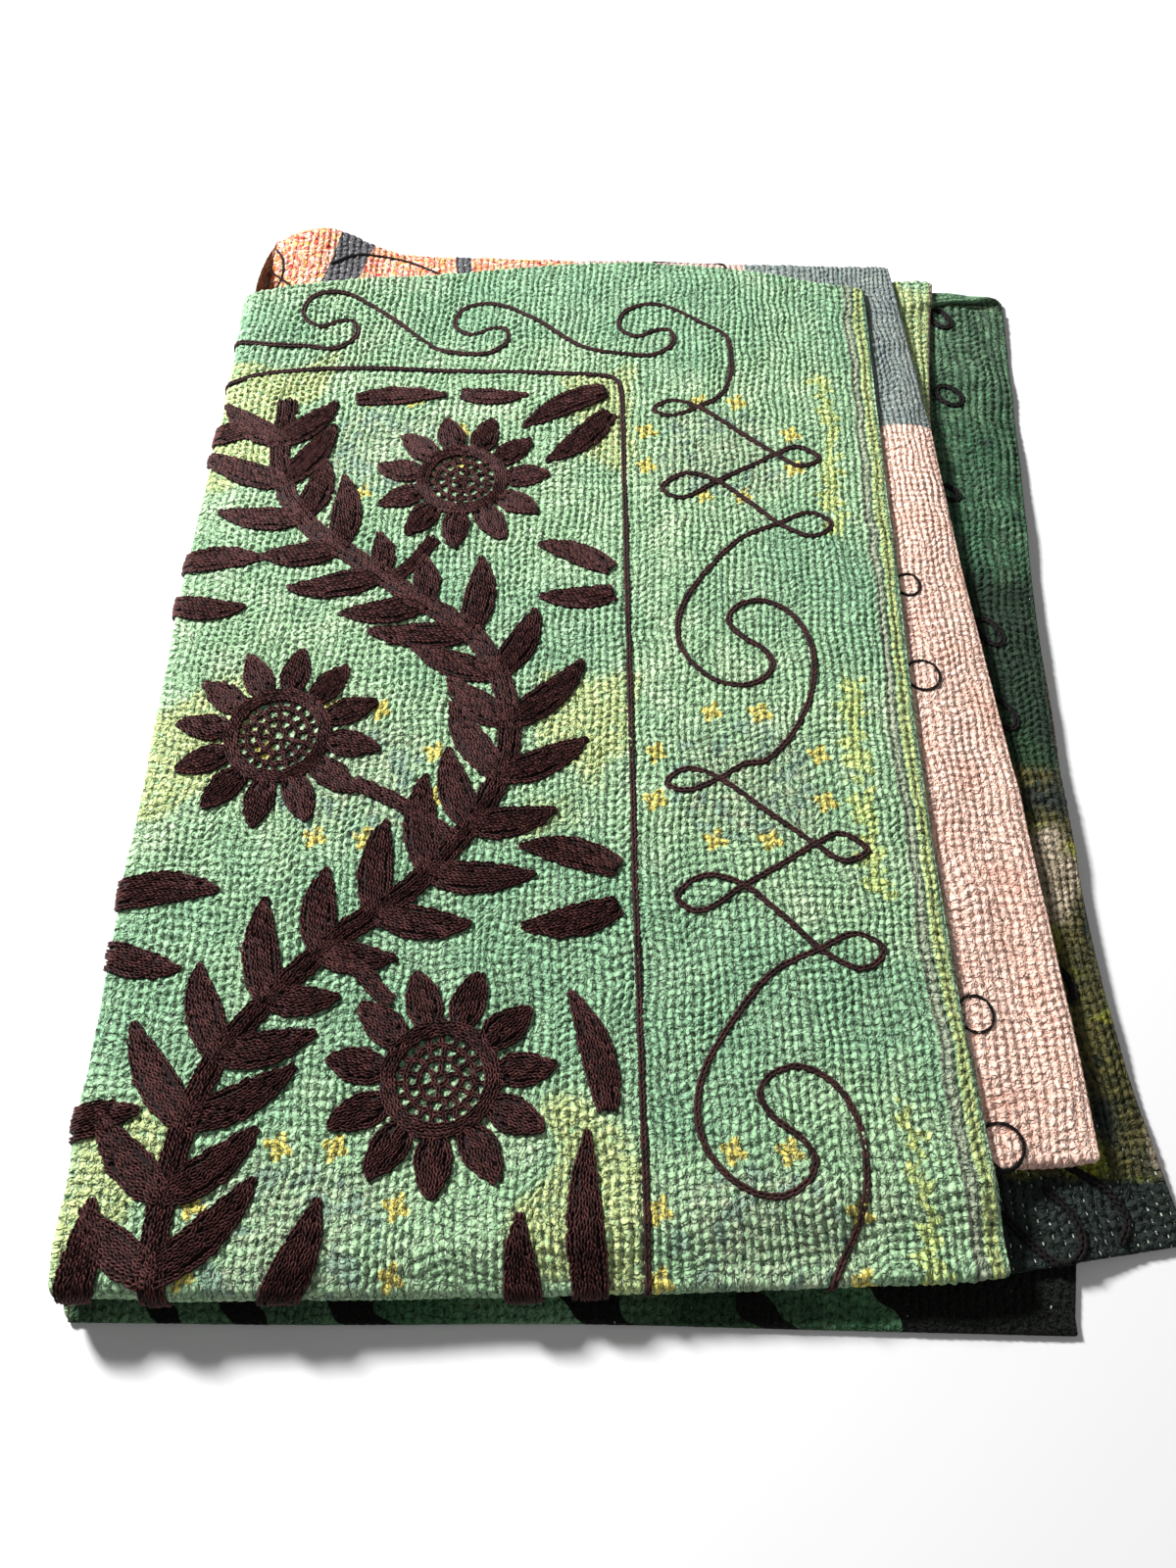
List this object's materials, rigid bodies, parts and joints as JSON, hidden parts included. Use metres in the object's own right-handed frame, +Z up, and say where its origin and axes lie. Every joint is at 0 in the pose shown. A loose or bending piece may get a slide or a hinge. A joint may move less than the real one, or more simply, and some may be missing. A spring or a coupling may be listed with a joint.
{
  "type": "folded kantha quilt",
  "caption": "Hand-stitched cotton quilt, embroidered, folded in half and then in three into a flat stack of layers with stepped hems.",
  "frame": {"origin": "middle of the folded quilt's box, on its underside", "axes": "+Z up, +Y along the folded quilt from its near fold to its far hems, +X from its left folds to its side hems"},
  "size_m": [0.732, 0.975, 0.0534],
  "materials": {
    "quilt": "matte"
  },
  "bodies": {
    "root": {"quilt": "quilt"}
  },
  "joints": []
}
